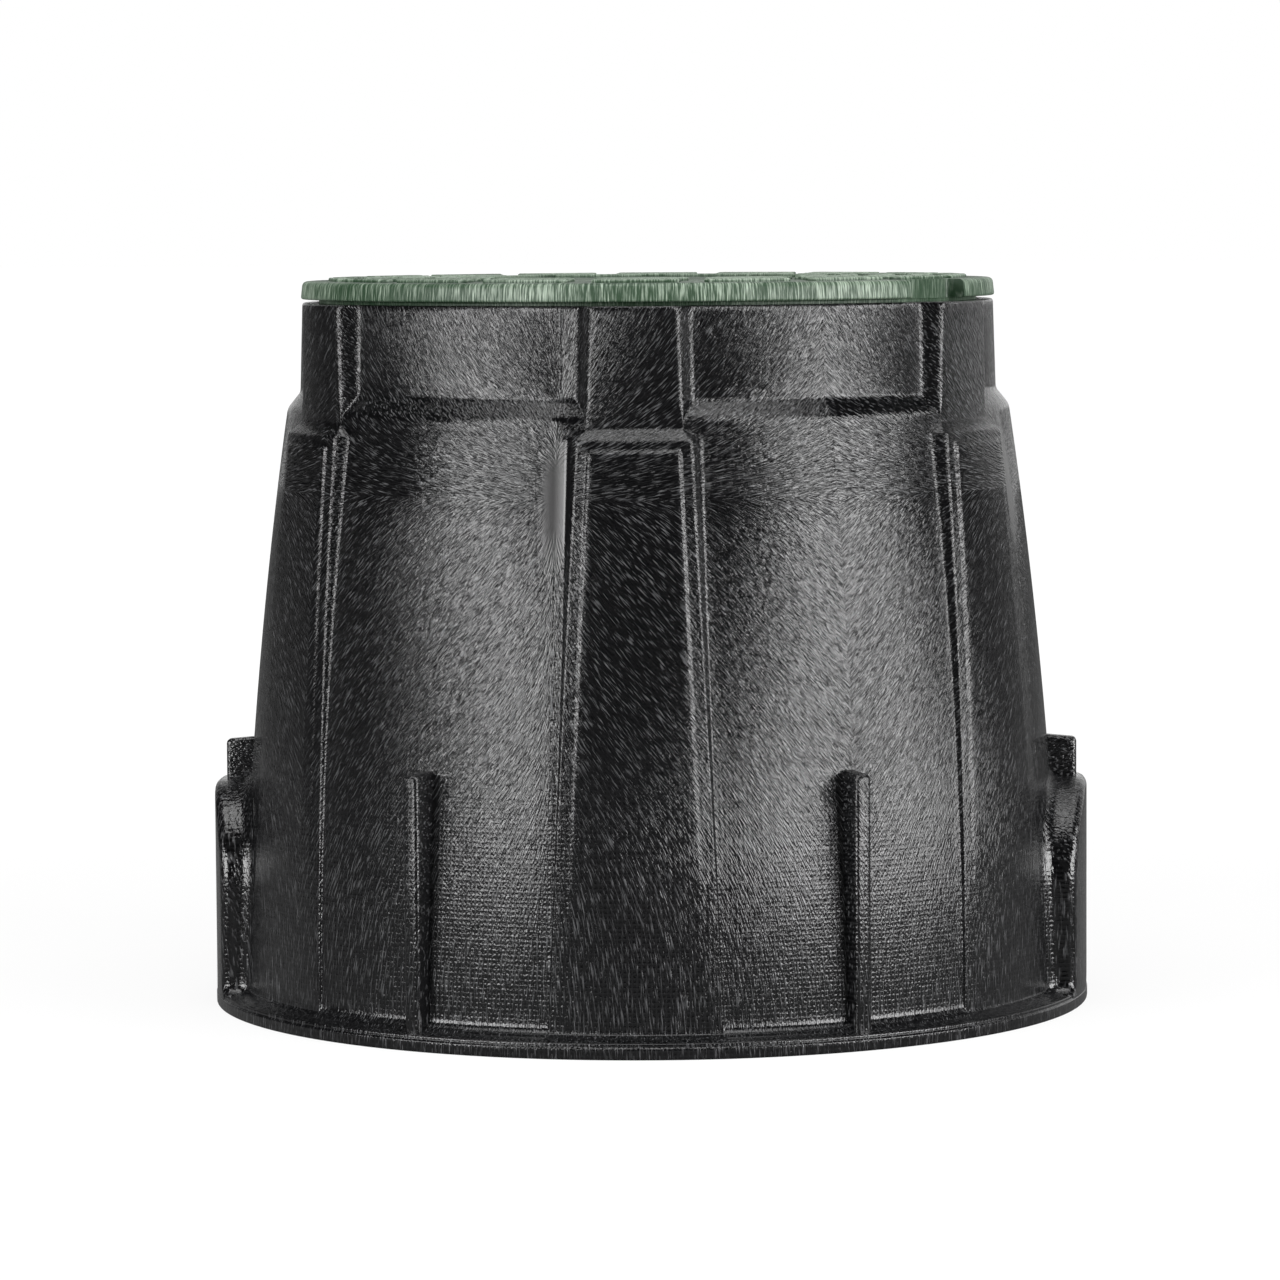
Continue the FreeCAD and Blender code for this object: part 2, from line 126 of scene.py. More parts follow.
curve_heights = np.linspace(DECK, PANEL_TOP, 26)
wall_line = soften(
    [(wall_curve(z), z, 0) for z in curve_heights]
    + [
        (wall_curve(WALL_TOP), WALL_TOP, 6.0),
        (COLLAR_FOOT_RADIUS, COLLAR_FOOT, 4.0),
        (COLLAR_TOP_RADIUS, RIM, 0),
    ]
)
panel_line = soften(
    [(panel_curve(z), z, 0) for z in curve_heights[:-1]]
    + [
        (panel_curve(PANEL_TOP), PANEL_TOP, 2.4),
        (UPPER_PANEL_RADIUS, UPPER_PANEL_FOOT, 2.0),
        (UPPER_PANEL_RADIUS, RIM, 0),
    ]
)


def ease(x):
    x = np.clip(x, 0.0, 1.0)
    return x * x * (3.0 - 2.0 * x)


def half_sector(z):
    """Angles from a pilaster's middle to the middle of the wall beside it, at one height, with how far
    each column belongs to the pilaster's face and to the low raised field on that face."""
    wall_r = np.interp(z, wall_line[:, 1], wall_line[:, 0])
    face_r = np.interp(z, panel_line[:, 1], panel_line[:, 0])
    lower_half = np.interp(z, (DECK, PANEL_TOP), (PANEL_FOOT_HALF, PANEL_TOP_HALF))
    upper_half = np.interp(z, (UPPER_PANEL_FOOT, RIM), (UPPER_PANEL_FOOT_HALF, UPPER_PANEL_TOP_HALF))
    up_the_ledge = ease((z - PANEL_TOP) / (UPPER_PANEL_FOOT - PANEL_TOP))
    half = lower_half + (upper_half - lower_half) * up_the_ledge
    run = (face_r - wall_r) * FLANK
    soft = min(FLANK_EASE, 0.45 * run)
    field_flare = (FIELD_FOOT_HALF - FIELD_TOP_HALF) * (FIELD_TOP - z) / (FIELD_TOP - FIELD_FOOT)
    field_half = min(FIELD_TOP_HALF + field_flare, half - FIELD_MARGIN)
    spread = np.array((-1.0, -0.5, 0.0, 0.5, 1.0))
    across = np.concatenate(
        (
            field_half * np.array((0.0, 0.3, 0.6, 0.85)),
            field_half + FIELD_EDGE * spread,
            half + soft * spread,
            [half + 0.5 * run],
            half + run + soft * spread,
        )
    )
    slope = 1.0 - (across - half) / run
    crest = 1.0 - (across - half + soft) ** 2 / (4.0 * soft * run)
    root = (half + run + soft - across) ** 2 / (4.0 * soft * run)
    on_face = np.where(across < half - soft, 1.0, np.where(across < half + soft, crest, slope))
    on_face = np.where(across > half + run - soft, root, on_face)
    on_field = ease((field_half + FIELD_EDGE - across) / (2.0 * FIELD_EDGE))
    angles = np.arcsin(across / face_r)
    sector_edge = math.pi / PILASTERS
    beside = angles[-1] + (sector_edge - angles[-1]) * np.array((0.08, 0.2, 0.36, 0.52, 0.68, 0.84, 1.0))
    bare = np.zeros(len(beside))
    return (
        np.concatenate((angles, beside)),
        np.concatenate((on_face, bare)),
        np.concatenate((on_field, bare)),
        wall_r,
        face_r,
    )


def all_round(half_values, turn=False):
    """Spreads one half sector's values over the whole circle, as angles where turn is set."""
    back = half_values[-2:0:-1]
    sector = np.concatenate((-back if turn else back, half_values))
    if not turn:
        return np.tile(sector, PILASTERS)
    return np.concatenate([sector + 2.0 * math.pi * k / PILASTERS for k in range(PILASTERS)])


def ring_row(radius, z, angle):
    return np.stack((radius * np.sin(angle), -radius * np.cos(angle), np.full(len(angle), z)), axis=1)


body_rows = []
flange_line = soften(
    [
        (FLANGE_INNER, 3.0, 0),
        (FLANGE_INNER, 0.0, 0.6),
        (FLANGE_RADIUS, 0.0, 0.5),
        (FLANGE_RADIUS, FLANGE_EDGE_HEIGHT, 0.5),
        (BEAD_RADIUS, BEAD_FOOT, 0.4),
        (BEAD_RADIUS, BEAD_HEIGHT, 0.5),
        (BEAD_INNER, BEAD_HEIGHT, 0.4),
        DECK_MIDDLE,
    ],
    steps=5,
)
foot_angles = all_round(half_sector(DECK)[0], turn=True)
for r, z in flange_line:
    body_rows.append(ring_row(np.full(len(foot_angles), r), z, foot_angles))

fillet_steps = DECK + np.array((0.0, 0.1, 0.3, 0.6, 1.0, 1.6, 2.3, 3.0))
wall_steps = np.linspace(13.0, 199.0, 40)
field_steps = np.array((202.0, 204.5, 205.6, 206.2, 206.8, 207.4, 208.0, 208.6))
step_heights = np.concatenate((wall_line[:, 1], panel_line[:, 1]))
step_heights = step_heights[(step_heights > 208.7) & (step_heights < 230.0)]
collar_steps = np.array((231.0, 236.0, 241.0, 246.0, 251.0, 255.0, 256.3))
outside_heights = np.concatenate((fillet_steps, wall_steps, field_steps, step_heights, collar_steps))
outside_heights = np.unique(outside_heights.round(2))


def foot_cove(fillet, above):
    """How far a fillet at the wall's foot still stands out at a height above the deck."""
    return fillet - math.sqrt(fillet**2 - max(fillet - above, 0.0) ** 2)


for z in outside_heights:
    angle, on_face, on_field, wall_r, face_r = half_sector(z)
    # The field fades in over its lowest stretch and ends in a short eased step at the top.
    field_raise = np.interp(z, (FIELD_FOOT, FIELD_TOP), (FIELD_FOOT_RAISE, FIELD_TOP_RAISE))
    field_raise *= ease((FIELD_TOP + 0.9 - z) / 2.0) * ease((z - FIELD_FOOT + 12.0) / 24.0)
    radius = wall_r + (face_r - wall_r) * on_face + field_raise * on_field
    radius += foot_cove(FOOT_FILLET, z - DECK) * (1.0 - on_face)
    radius += foot_cove(PANEL_FOOT_FILLET, z - DECK) * on_face
    body_rows.append(ring_row(all_round(radius), z, all_round(angle, turn=True)))

rim_angle, rim_face, _, rim_wall_r, rim_face_r = half_sector(RIM)
rim_angles = all_round(rim_angle, turn=True)
rim_radius = all_round(rim_wall_r + (rim_face_r - rim_wall_r) * rim_face)
# The rim's outer edge is eased.
for inset, drop in ((0.1, 0.45), (0.35, 0.12), (0.8, 0.0), (2.4, 0.0)):
    body_rows.append(ring_row(rim_radius - inset, RIM - drop, rim_angles))
inside_line = soften(
    [
        (SEAT_RADIUS + 1.6, RIM, 0),
        (SEAT_RADIUS, RIM, 0.7),
        (SEAT_RADIUS, SEAT_HEIGHT, 0.6),
        (LEDGE_RADIUS, SEAT_HEIGHT, 0.6),
        (LEDGE_RADIUS, LEDGE_FOOT, 0.8),
        (COLLAR_INNER, LEDGE_ROOT, 2.0),
        (COLLAR_INNER, COLLAR_INNER_FOOT, 3.0),
        (SHOULDER_INNER, SHOULDER_INNER_FOOT, 3.0),
    ]
    + [(wall_curve(z) - WALL_THICKNESS, z, 0) for z in np.linspace(208.0, DECK, 24)],
    steps=5,
)
for r, z in inside_line:
    angles = all_round(half_sector(min(max(z, DECK), RIM))[0], turn=True)
    body_rows.append(ring_row(np.full(len(angles), r), z, angles))


def closed_skin(name, rows):
    """Mesh through rows of points, closed round each row and from the last row back to the first."""
    count, width = len(rows), len(rows[0])
    points = np.concatenate(rows) * MM
    faces = []
    for j in range(count):
        below, above = j * width, (j + 1) % count * width
        for i in range(width):
            k = (i + 1) % width
            faces.append((below + i, below + k, above + k, above + i))
    mesh = bpy.data.meshes.new(name)
    mesh.from_pydata(points.tolist(), [], faces)
    return finished(name, mesh)


def finished(name, mesh):
    """Object from a mesh, its faces turned to look outwards."""
    work = bmesh.new()
    work.from_mesh(mesh)
    bmesh.ops.recalc_face_normals(work, faces=work.faces)
    work.to_mesh(mesh)
    work.free()
    piece = bpy.data.objects.new(name, mesh)
    bpy.context.scene.collection.objects.link(piece)
    return piece


def combine(piece, tool, operation):
    """Joins or cuts with a tool object, which is then thrown away."""
    modifier = piece.modifiers.new("combine", "BOOLEAN")
    modifier.operation = operation
    modifier.solver = "MANIFOLD"
    modifier.object = tool
    bpy.context.view_layer.update()
    shaped = piece.evaluated_get(bpy.context.evaluated_depsgraph_get())
    mesh = bpy.data.meshes.new_from_object(shaped)
    piece.modifiers.clear()
    mesh.materials.clear()
    piece.data = mesh
    bpy.data.objects.remove(tool)


body = closed_skin("box_shell", body_rows)


# Stacking ribs: six upright ribs of the same moulding, midway between the pilasters, with eased edges.
# The two on the pipe line show only above the arches.
RIB_RADIUS = 157.5
RIB_FOOT = 3.0
RIB_TOP = 96.5
RIB_TOP_FALL = 1.2
RIB_FOOT_ROOT = 148.6
RIB_TOP_ROOT = 144.2
RIB_HALF = 3.0
RIB_EASE = 1.5


def rib_block(angle):
    work = bmesh.new()
    side = [
        (RIB_FOOT_ROOT, RIB_FOOT),
        (RIB_RADIUS, RIB_FOOT),
        (RIB_RADIUS, RIB_TOP - RIB_TOP_FALL),
        (RIB_TOP_ROOT, RIB_TOP),
    ]
    ends = []
    for y in (-RIB_HALF, RIB_HALF):
        ends.append([work.verts.new((r * MM, y * MM, z * MM)) for r, z in side])
    work.faces.new(ends[0])
    work.faces.new(ends[1][::-1])
    for i in range(len(side)):
        k = (i + 1) % len(side)
        work.faces.new((ends[0][i], ends[0][k], ends[1][k], ends[1][i]))
    bmesh.ops.bevel(
        work, geom=work.edges[:], offset=RIB_EASE * MM, segments=4, profile=0.5, affect="EDGES"
    )
    for vert in work.verts:
        x, y = vert.co.x, vert.co.y
        vert.co.x = x * math.sin(angle) + y * math.cos(angle)
        vert.co.y = -x * math.cos(angle) + y * math.sin(angle)
    mesh = bpy.data.meshes.new("rib")
    work.to_mesh(mesh)
    work.free()
    return finished("rib", mesh)


# Pipe arches: a hood on each side of the wall with a closed face flush with the flange's edge, flowing
# into wall and deck with soft fillets. Each is hollow behind its face and open at the foot.
ARCH_HALF = 43.0
ARCH_CROWN = 81.0
ARCH_CORNER = 36.0
ARCH_RADIUS = 161.2
ARCH_WALL = 5.0
HOOD_FLARE = 4.5
HOOD_EASE = 2.8
HOOD_FOOT = 0.6
HOOD_FOOT_LEVEL = 6.0
HOOD_FOOT_FILLET = 4.0
HOOD_ROOT_INSET = 9.0
HOOD_SINK = 2.6
RECESS_FOOT = -5.0
RECESS_BACK = 110.0


def arch_outline(foot, foot_fillet):
    """Points of the arch seen along the pipe, from foot over crown to foot, with outward normals."""
    spring = ARCH_CROWN - ARCH_CORNER
    flat = ARCH_HALF - ARCH_CORNER
    points = []
    for z in (foot, 4.0, 6.0, 6.2, 6.6, 7.2, 8.0, 9.0, 10.0, 15.0, 22.0, 29.0, 37.0):
        low = np.clip((HOOD_FOOT_LEVEL + foot_fillet - z) / max(foot_fillet, 0.1), 0.0, 1.0)
        spread = foot_fillet * (1.0 - math.sqrt(1.0 - low * low))
        points.append(((ARCH_HALF + spread, z), (1.0, 0.0)))
    for turn in np.linspace(0.0, math.pi / 2, 13):
        normal = (math.cos(turn), math.sin(turn))
        points.append(((flat + ARCH_CORNER * normal[0], spring + ARCH_CORNER * normal[1]), normal))
    mirrored = [((-p[0], p[1]), (-n[0], n[1])) for p, n in points[::-1]]
    return points + [((0.0, ARCH_CROWN), (0.0, 1.0))] + mirrored


def arch_ring(outline, offset, base, depth):
    """The outline set out by an offset, laid on the wall, on the hood's face or at one place along X."""
    ring = []
    for (y, z), (out_y, out_z) in outline:
        y, z = y + offset * out_y, z + offset * out_z
        reach = {"wall": wall_curve(max(z, DECK)), "face": ARCH_RADIUS}.get(base)
        x = base if reach is None else math.sqrt(reach**2 - y * y)
        ring.append((x + depth, y, z))
    return ring


def arch_block(name, rings, side):
    """Closed mesh through rings, each end bridged from flank to flank; side is +1 or -1 along X."""
    width = len(rings[0])
    points = [point for ring in rings for point in ring]
    faces = []
    for j in range(len(rings) - 1):
        for i in range(width):
            k = (i + 1) % width
            faces.append((j * width + i, j * width + k, (j + 1) * width + k, (j + 1) * width + i))
    for first in (0, (len(rings) - 1) * width):
        for i in range(width // 2):
            mirror = first + width - 1 - i
            strip = (first + i, first + i + 1, mirror - 1, mirror)
            faces.append(strip if strip[1] != strip[2] else (strip[0], strip[1], strip[3]))
    mesh = bpy.data.meshes.new(name)
    mesh.from_pydata([(x * side * MM, y * side * MM, z * MM) for x, y, z in points], [], faces)
    return finished(name, mesh)


hood_outline = arch_outline(HOOD_FOOT, HOOD_FOOT_FILLET)
recess_outline = arch_outline(RECESS_FOOT, 0.0)
quarter = np.linspace(0.0, math.pi / 2, 7)
across_face = (-9.0, -15.0, -21.0, -27.0, -33.0)
for side in (1, -1):
    rings = [
        arch_ring(hood_outline, -HOOD_ROOT_INSET, "wall", -HOOD_SINK),
        arch_ring(hood_outline, HOOD_FLARE, "wall", -HOOD_SINK),
    ]
    for turn in quarter:
        flare = HOOD_FLARE * (1.0 - math.sin(turn))
        rings.append(arch_ring(hood_outline, flare, "wall", HOOD_FLARE * (1.0 - math.cos(turn))))
    for turn in quarter:
        inset = -HOOD_EASE * (1.0 - math.cos(turn))
        rings.append(arch_ring(hood_outline, inset, "face", -HOOD_EASE * (1.0 - math.sin(turn))))
    rings += [arch_ring(hood_outline, inset, "face", 0.0) for inset in across_face]
    combine(body, arch_block("hood", rings, side), "UNION")
# The ribs go on after the hoods, which cover the feet of two of them.
for k in range(PILASTERS):
    combine(body, rib_block(math.radians(30.0 + 60.0 * k)), "UNION")
for side in (1, -1):
    rings = [arch_ring(recess_outline, -ARCH_WALL, RECESS_BACK, 0.0)]
    rings += [arch_ring(recess_outline, -ARCH_WALL, "face", -ARCH_WALL)]
    rings += [arch_ring(recess_outline, inset, "face", -ARCH_WALL) for inset in across_face]
    combine(body, arch_block("recess", rings, side), "DIFFERENCE")


def smooth_shade(piece, sharp_angle):
    piece.data.polygons.foreach_set("use_smooth", [True] * len(piece.data.polygons))
    piece.data.set_sharp_from_angle(angle=math.radians(sharp_angle))


smooth_shade(body, 40.0)


# Black foamed plastic: the flow leaves four gates on the wall and shows as short pale strokes along it,
# crowding at the weld lines between the gates. Strokes change colour, gloss and height a little.
class Nodes:
    """Builds one material's nodes; a number or a socket can go into any input."""

    def __init__(self, name):
        self.material = bpy.data.materials.new(name)
        self.material.use_nodes = True
        self.tree = self.material.node_tree
        self.shader = self.tree.nodes["Principled BSDF"]

    def feed(self, socket, value):
        if isinstance(value, bpy.types.NodeSocket):
            self.tree.links.new(value, socket)
        else:
            socket.default_value = value

    def math(self, operation, *values):
        node = self.tree.nodes.new("ShaderNodeMath")
        node.operation = operation
        for socket, value in zip(node.inputs, values):
            self.feed(socket, value)
        return node.outputs[0]

    def scaled(self, value, low, high, to_low=0.0, to_high=1.0, smooth=True):
        node = self.tree.nodes.new("ShaderNodeMapRange")
        node.interpolation_type = "SMOOTHSTEP" if smooth else "LINEAR"
        for socket, given in zip(node.inputs, (value, low, high, to_low, to_high)):
            self.feed(socket, given)
        return node.outputs[0]

    def distance(self, x, y):
        squares = self.math("ADD", self.math("MULTIPLY", x, x), self.math("MULTIPLY", y, y))
        return self.math("SQRT", squares)

    def natural_log(self, value):
        return self.math("LOGARITHM", value, math.e)

    def point(self, x, y, z):
        node = self.tree.nodes.new("ShaderNodeCombineXYZ")
        for socket, value in zip(node.inputs, (x, y, z)):
            self.feed(socket, value)
        return node.outputs[0]

    def noise(self, where, scale, detail=2.0, roughness=0.5):
        node = self.tree.nodes.new("ShaderNodeTexNoise")
        self.feed(node.inputs["Vector"], where)
        node.inputs["Scale"].default_value = scale
        node.inputs["Detail"].default_value = detail
        node.inputs["Roughness"].default_value = roughness
        return node.outputs[0]

    def blend(self, amount, first, second):
        node = self.tree.nodes.new("ShaderNodeMix")
        node.data_type = "RGBA"
        self.feed(node.inputs[0], amount)
        self.feed(node.inputs[6], first)
        self.feed(node.inputs[7], second)
        return node.outputs[2]

    def bump(self, height, strength, distance):
        node = self.tree.nodes.new("ShaderNodeBump")
        node.inputs["Strength"].default_value = strength
        node.inputs["Distance"].default_value = distance
        self.feed(node.inputs["Height"], height)
        return node.outputs[0]

    def place(self):
        node = self.tree.nodes.new("ShaderNodeTexCoord")
        split = self.tree.nodes.new("ShaderNodeSeparateXYZ")
        self.feed(split.inputs[0], node.outputs["Object"])
        return node.outputs["Object"], split.outputs


GATES = 4
GATE_ANGLE = math.radians(-12.26)
GATE_HEIGHT = 0.1905
GATE_SPACING_WARP = 0.066
GATE_PINCH = 4.0
SPOT_WIDTH = 4.6
SPOT_HEIGHT = 15.0
WALL_RADIUS = 145.0
FLOW_TURN_DROP = 123.0
FLOW_TURN_LENGTH = 22.0
STROKE_WIDTH = 0.48
STROKE_LENGTH = 4.4
OUTWARD_STROKES = 800.0
STROKE_RELIEF = 0.00038
HATCH_PITCH = 1.7
BODY_DARK = (0.0022, 0.0022, 0.0025, 1.0)
BODY_PALE = (0.105, 0.106, 0.11, 1.0)

black = Nodes("black_foamed_plastic")
spot, (spot_x, spot_y, spot_z) = black.place()
around = black.math("ARCTAN2", spot_x, black.math("MULTIPLY", spot_y, -1.0))
# The side gates stand a little less than a quarter turn from the front one.
warp = black.math("MULTIPLY", black.math("SINE", around), GATE_SPACING_WARP)
around = black.math("ADD", around, warp)
from_gate = black.math("SUBTRACT", around, GATE_ANGLE)
sector = black.math("ROUND", black.math("DIVIDE", from_gate, 2.0 * math.pi / GATES))
sideways = black.math("WRAP", from_gate, math.pi / GATES, -math.pi / GATES)
sideways = black.math("MULTIPLY", black.math("ABSOLUTE", sideways), WALL_RADIUS)
sideways = black.math("MAXIMUM", sideways, 0.3)
drop = black.math("MULTIPLY", black.math("SUBTRACT", GATE_HEIGHT, spot_z), 1000.0)
gate_gap = black.math("ABSOLUTE", drop)
below_gate = black.math("GREATER_THAN", drop, 0.0)


def fan(reach, least):
    """A shift that grows as the logarithm of the distance from the gate's level, straight within the
    least distance, and its rate of growth."""
    far = black.math("MAXIMUM", gate_gap, least)
    short = black.math("SUBTRACT", gate_gap, far)
    shift = black.math("ADD", black.natural_log(far), black.math("DIVIDE", short, least))
    shift = black.math("SUBTRACT", shift, math.log(least) - 1.0)
    return black.math("MULTIPLY", shift, reach), black.math("DIVIDE", reach, far)


# Below a gate the flow spreads at 45 degrees and turns straight down near the foot; above, it fans out.
turn = black.math("DIVIDE", black.math("SUBTRACT", drop, FLOW_TURN_DROP), FLOW_TURN_LENGTH)
turn = black.math("ADD", black.math("EXPONENT", turn), 1.0)
low_shift, low_lean = fan(reach=3.5, least=1.5)
low_shift = black.math("ADD", low_shift, drop)
turned_back = black.math("MULTIPLY", black.natural_log(turn), FLOW_TURN_LENGTH)
low_shift = black.math("SUBTRACT", low_shift, turned_back)
low_lean = black.math("ADD", low_lean, black.math("DIVIDE", 1.0, turn))
high_shift, high_lean = fan(reach=50.0, least=8.0)


def pick(low, high):
    change = black.math("MULTIPLY", black.math("SUBTRACT", low, high), below_gate)
    return black.math("ADD", high, change)


pinched = black.math("MULTIPLY", black.natural_log(sideways), GATE_PINCH)
across = black.math("SUBTRACT", black.math("ADD", sideways, pinched), pick(low_shift, high_shift))
along = black.math("MULTIPLY", black.math("ADD", sideways, gate_gap), 0.71)
# How closely the flow lines crowd here, in doublings, so that the strokes keep one size over the wall.
lean = pick(low_lean, high_lean)
split = black.math("ADD", black.math("DIVIDE", GATE_PINCH, sideways), 1.0)
crowding = black.math("ADD", black.math("MULTIPLY", lean, lean), black.math("MULTIPLY", split, split))
level = black.math("MULTIPLY", black.math("LOGARITHM", crowding, 2.0), 0.5)
whole_level = black.math("FLOOR", level)
# Distance from the axis, in strokes, breaks the pattern up on faces that stand out from the wall.
outwards = black.math("MULTIPLY", black.distance(spot_x, spot_y), OUTWARD_STROKES)


def flow_noise(step, width, length, detail):
    """Noise in strokes along the flow, for one doubling of the crowding."""
    size = black.math("POWER", 2.0, black.math("ADD", whole_level, step))
    where = black.point(
        black.math("DIVIDE", across, black.math("MULTIPLY", size, width)),
        black.math("DIVIDE", along, length),
        black.math("ADD", black.math("MULTIPLY", sector, 7.3), black.math("ADD", size, outwards)),
    )
    return black.noise(where, 1.0, detail, 0.55)


def flow_pattern(width, length, detail):
    """Strokes of one size everywhere: fades from one doubling to the next with an even contrast."""
    fade = black.math("MULTIPLY", black.math("FRACT", level), math.pi / 2)
    first = black.math("SUBTRACT", flow_noise(0.0, width, length, detail), 0.5)
    second = black.math("SUBTRACT", flow_noise(1.0, width, length, detail), 0.5)
    first = black.math("MULTIPLY", first, black.math("COSINE", fade))
    second = black.math("MULTIPLY", second, black.math("SINE", fade))
    return black.math("ADD", first, second)


# The strokes stop short of each gate, which leaves a plain dark spot, slightly duller.
near_u = black.math("DIVIDE", sideways, SPOT_WIDTH)
near_v = black.math("DIVIDE", gate_gap, SPOT_HEIGHT)
clear = black.math("ADD", black.math("MULTIPLY", near_u, near_u), black.math("MULTIPLY", near_v, near_v))
clear = black.scaled(clear, 0.0, 4.5)
strokes = black.math("MULTIPLY", flow_pattern(STROKE_WIDTH, STROKE_LENGTH, 1.0), clear)
clouds = black.noise(spot, 30.0, 3.0, 0.55)
grain = black.noise(spot, 1300.0, 1.0, 0.6)
marks = black.scaled(strokes, 0.02, 0.3)
marks = black.math("MULTIPLY", marks, black.scaled(clouds, 0.3, 0.7, 0.5, 1.0))
# The mould's fine cross hatching shows faintly on the lower wall.
hatch_u = black.math("SINE", black.math("MULTIPLY", around, WALL_RADIUS * 2.0 * math.pi / HATCH_PITCH))
hatch_v = black.math("SINE", black.math("MULTIPLY", drop, 2.0 * math.pi / HATCH_PITCH))
hatch_depth = black.scaled(drop, 70.0, 120.0, 0.0, 0.05)
hatch = black.math("MULTIPLY", black.math("MAXIMUM", hatch_u, hatch_v), hatch_depth)
marks = black.math("MAXIMUM", black.math("ADD", marks, hatch), 0.0)
black.feed(black.shader.inputs["Base Color"], black.blend(marks, BODY_DARK, BODY_PALE))
roughness = black.scaled(strokes, -0.15, 0.2, 0.1, 0.18, smooth=False)
roughness = black.math("ADD", roughness, black.scaled(clear, 0.0, 1.0, 0.1, 0.0))
black.feed(black.shader.inputs["Roughness"], roughness)
black.shader.inputs["Specular IOR Level"].default_value = 0.5
# The strokes lie flatter towards the foot, and the grain fades at the gates' plain spots.
relief = black.math("MULTIPLY", strokes, black.scaled(drop, 80.0, 150.0, 1.0, 0.5))
height = black.math("ADD", relief, black.math("MULTIPLY", black.math("MULTIPLY", grain, clear), 0.2))
height = black.math("ADD", height, hatch)
black.feed(black.shader.inputs["Normal"], black.bump(height, 1.0, STROKE_RELIEF))
body.data.materials.append(black.material)
body.name = "box_moulding"
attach(body, "root")
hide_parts("box_body")


# Cover: a lift-off lid in green foamed plastic, a plate with a rounded edge, a skirt that drops into the
# collar, eight ribs beneath, a pry notch in the edge and rings of low tread bars on top.
COVER_TOP = 265.0
COVER_FOOT = 258.5
COVER_RADIUS = 127.5
COVER_TOP_RADIUS = 126.8
PLATE_UNDER = 260.4
SKIRT_RADIUS = 120.8
SKIRT_INNER = 117.2
COVER_SEGMENTS = 288
SPOKE_REACH = 118.0
SPOKE_HALF = 1.6
SPOKE_FOOT = 253.4
NOTCH_HALF = 17.5
NOTCH_FLOOR = 119.1
NOTCH_TURN = math.radians(57.0)
TREAD_BARS = (18, 16, 14, 12, 9)
TREAD_RADIUS = 116.5
TREAD_PITCH = 13.0
TREAD_BAR_WIDTH = 6.4
TREAD_GAP = 9.0
TREAD_TOP = 266.2

cover_line = soften(
    [
        (40.0, PLATE_UNDER, 0),
        (80.0, PLATE_UNDER, 0),
        (SKIRT_INNER, PLATE_UNDER, 1.2),
        (SKIRT_INNER, SEAT_HEIGHT, 0.6),
        (SKIRT_RADIUS, SEAT_HEIGHT, 0.6),
        (SKIRT_RADIUS, COVER_FOOT, 0.8),
        (COVER_RADIUS, COVER_FOOT, 0.9),
        (COVER_TOP_RADIUS, COVER_TOP, 2.2),
        (119.0, COVER_TOP, 0),
        (80.0, COVER_TOP, 0),
        (40.0, COVER_TOP, 0),
    ],
    steps=7,
)
turns = np.arange(COVER_SEGMENTS) * 2.0 * math.pi / COVER_SEGMENTS
cover_points = []
for r, z in cover_line:
    cover_points += [tuple(point) for point in ring_row(np.full(COVER_SEGMENTS, r), z, turns) * MM]
cover_faces = []
for j in range(len(cover_line) - 1):
    for i in range(COVER_SEGMENTS):
        k = (i + 1) % COVER_SEGMENTS
        low, high = j * COVER_SEGMENTS, (j + 1) * COVER_SEGMENTS
        cover_faces.append((low + i, low + k, high + k, high + i))
for first, z in ((0, PLATE_UNDER), ((len(cover_line) - 1) * COVER_SEGMENTS, COVER_TOP)):
    middle = len(cover_points)
    cover_points.append((0.0, 0.0, z * MM))
    for i in range(COVER_SEGMENTS):
        cover_faces.append((first + i, first + (i + 1) % COVER_SEGMENTS, middle))
cover_mesh = bpy.data.meshes.new("cover_plate")
cover_mesh.from_pydata(cover_points, [], cover_faces)
cover = finished("cover_plate", cover_mesh)


def eased_block(low, high, upright_ease, top_ease, turn):
    """Block between two corners, its upright and top edges eased, turned about the cover's middle."""
    work = bmesh.new()
    made = bmesh.ops.create_cube(work, size=1.0)["verts"]
    for vert in made:
        for axis in range(3):
            vert.co[axis] = (low[axis] if vert.co[axis] < 0 else high[axis]) * MM
    upright = [e for e in work.edges if abs(e.verts[0].co.z - e.verts[1].co.z) > 1e-6]
    if upright_ease:
        bmesh.ops.bevel(
            work, geom=upright, offset=upright_ease * MM, segments=4, profile=0.5, affect="EDGES"
        )
    if top_ease:
        top = [e for e in work.edges if min(v.co.z for v in e.verts) > high[2] * MM - 1e-7]
        bmesh.ops.bevel(work, geom=top, offset=top_ease * MM, segments=3, profile=0.5, affect="EDGES")
    for vert in work.verts:
        x, y = vert.co.x, vert.co.y
        vert.co.x = x * math.cos(turn) - y * math.sin(turn)
        vert.co.y = x * math.sin(turn) + y * math.cos(turn)
    mesh = bpy.data.meshes.new("block")
    work.to_mesh(mesh)
    work.free()
    return finished("block", mesh)


